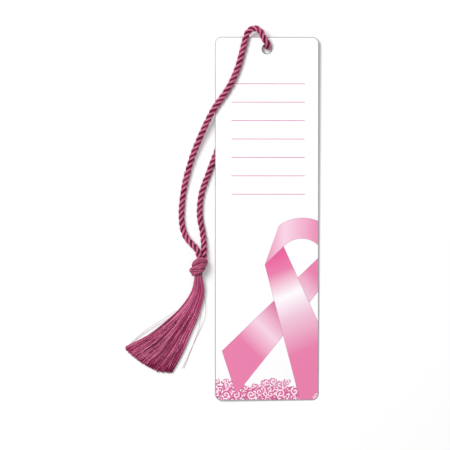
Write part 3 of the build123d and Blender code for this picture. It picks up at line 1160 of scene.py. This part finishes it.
    def execute(self, context):
        skirt = context.scene.bookmark_skirt
        self.shape = self.fan()
        chance = np.random.default_rng(self.seed)
        strands = Strands()
        self.bed(strands, skirt.length - self.bed_shortfall)
        edges = np.concatenate([[0.0], np.cumsum(chance.uniform(*self.lock_widths, skirt.locks))])
        edges /= edges[-1]
        for near, far in zip(edges, edges[1:]):
            count = int(round(skirt.threads * skirt.locks * (far - near)))
            self.lock(strands, skirt, (near + far) / 2, (far - near) / 2, count, chance)
        for stray in self.strays:
            line, run = smooth_route("stray", placed(stray), self.stray_step)
            first, _ = carried_sides(line)
            radius = skirt.thread * self.stray_girth
            strands.tube(line, radius, first, self.thread_sides, run / run[-1], self.stray_tone)
        piece = strands.piece("skirt", loose_thread(skirt))
        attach(piece, "skirt")
        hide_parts("tassel_skirt")
        return {"FINISHED"}


class BOOKMARK_OT_cord(bpy.types.Operator):
    """Twists the cord along its route through the hole"""

    bl_idname = "bookmark.cord"
    bl_label = "Cord"

    fibres = 2200
    seed = 3

    def execute(self, context):
        card, cord = context.scene.bookmark_card, context.scene.bookmark_cord
        whole, run, girth, outside = cord_run(cord.diameter)
        line = whole[outside]
        strands = Strands()
        strands.twist(whole, run, girth, cord.lay, cord.plies, PLY_SIDES, outside)
        chance = np.random.default_rng(self.seed)
        strands.fuzz(line, run[outside] / cord.lay, cord.diameter / 2, card, self.fibres, chance)
        piece = strands.piece("cord", cord_yarn(cord))
        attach(piece, "loop")
        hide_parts("cord_loop")
        return {"FINISHED"}


class BOOKMARK_OT_stage(bpy.types.Operator):
    """Lays the pale floor and sets the light and the camera"""

    bl_idname = "bookmark.stage"
    bl_label = "Stage"

    # Floor: its side, how far below the part it lies, and the light that it adds where it is seen
    floor_side = 4.0
    floor_drop = 0.02 * MM
    floor_glow = 0.2

    # Lamp: the diameter of its disc and its place
    lamp_size = 0.55
    lamp_place = (-0.42, 0.36, 1.0)

    # Camera: focal length and width of the sensor in millimetres, and how far it sees
    focal_length = 200.0
    sensor_width = 36.0
    sight = 20.0

    def floor(self, stage):
        deselect_all()
        bpy.ops.mesh.primitive_plane_add(size=self.floor_side, location=(0, 0, -self.floor_drop))
        plane = bpy.context.object
        plane.name = plane.data.name = "floor"
        finish = Finish(bpy.data.materials.new("pale_floor"))
        rays = finish.add("ShaderNodeLightPath").outputs
        seen = finish.math("ADD", rays["Is Camera Ray"], rays["Is Glossy Ray"])
        seen = finish.math("ADD", seen, rays["Is Transmission Ray"], clamp=True)
        matt = finish.add("ShaderNodeBsdfDiffuse", {"Color": linear(stage.floor)}).outputs["BSDF"]
        lift = finish.math("MULTIPLY", seen, self.floor_glow)
        glow = finish.add("ShaderNodeEmission", {"Strength": lift}).outputs["Emission"]
        both = finish.add("ShaderNodeAddShader", {0: matt, 1: glow})
        plane.data.materials.append(finish.surface(both.outputs["Shader"]))

    def world(self, stage):
        finish = Finish(bpy.data.worlds.new("soft_room"), "ShaderNodeOutputWorld")
        seen = finish.add("ShaderNodeLightPath").outputs["Is Camera Ray"]
        inputs = {"Value": seen, "To Min": stage.fill, "To Max": 1.0}
        strength = finish.add("ShaderNodeMapRange", inputs).outputs["Result"]
        light = finish.add("ShaderNodeBackground", {"Color": (1.0, 1.0, 1.0, 1.0), "Strength": strength})
        bpy.context.scene.world = finish.surface(light.outputs["Background"])

    def execute(self, context):
        stage = context.scene.bookmark_stage
        context.scene.view_settings.view_transform = "Standard"
        self.floor(stage)
        self.world(stage)
        lamp = bpy.data.lights.new("key_light", "AREA")
        lamp.shape = "DISK"
        lamp.size = self.lamp_size
        lamp.energy = stage.key
        key = bpy.data.objects.new("key_light", lamp)
        key.location = self.lamp_place
        key.rotation_euler = (-key.location).to_track_quat("-Z", "Y").to_euler()
        context.collection.objects.link(key)
        lens = bpy.data.cameras.new("camera")
        lens.lens = self.focal_length
        lens.sensor_width = self.sensor_width
        lens.clip_end = self.sight
        camera = bpy.data.objects.new("camera", lens)
        camera.location = (stage.view_x, stage.view_y, stage.height)
        context.collection.objects.link(camera)
        context.scene.camera = camera
        return {"FINISHED"}


class BOOKMARK_PT_panel(bpy.types.Panel):
    """Lists the steps that make the bookmark, with their sizes and colours"""

    bl_label = "Bookmark"
    bl_idname = "BOOKMARK_PT_panel"
    bl_space_type = "VIEW_3D"
    bl_region_type = "UI"
    bl_category = "Bookmark"

    def draw(self, context):
        scene = context.scene
        for group in (scene.bookmark_card, scene.bookmark_cord, scene.bookmark_skirt, scene.bookmark_stage):
            box = self.layout.box()
            for name in group.__annotations__:
                box.prop(group, name)
        for operator in OPERATORS:
            self.layout.operator(operator.bl_idname)


GROUPS = {
    "bookmark_card": CardSettings,
    "bookmark_cord": CordSettings,
    "bookmark_skirt": SkirtSettings,
    "bookmark_stage": StageSettings,
}
OPERATORS = (
    BOOKMARK_OT_stage,
    BOOKMARK_OT_printed_card,
    BOOKMARK_OT_clear_films,
    BOOKMARK_OT_knot,
    BOOKMARK_OT_skirt,
    BOOKMARK_OT_cord,
)


def register():
    for name, group in GROUPS.items():
        bpy.utils.register_class(group)
        setattr(bpy.types.Scene, name, PointerProperty(type=group))
    for operator in OPERATORS:
        bpy.utils.register_class(operator)
    bpy.utils.register_class(BOOKMARK_PT_panel)


def unregister():
    bpy.utils.unregister_class(BOOKMARK_PT_panel)
    for operator in reversed(OPERATORS):
        bpy.utils.unregister_class(operator)
    for name, group in GROUPS.items():
        delattr(bpy.types.Scene, name)
        bpy.utils.unregister_class(group)


def main():
    register()
    bpy.ops.bookmark.stage()
    bpy.ops.bookmark.printed_card()
    bpy.ops.bookmark.clear_films()
    bpy.ops.bookmark.knot()
    bpy.ops.bookmark.skirt()
    bpy.ops.bookmark.cord()


if __name__ == "__main__":
    main()
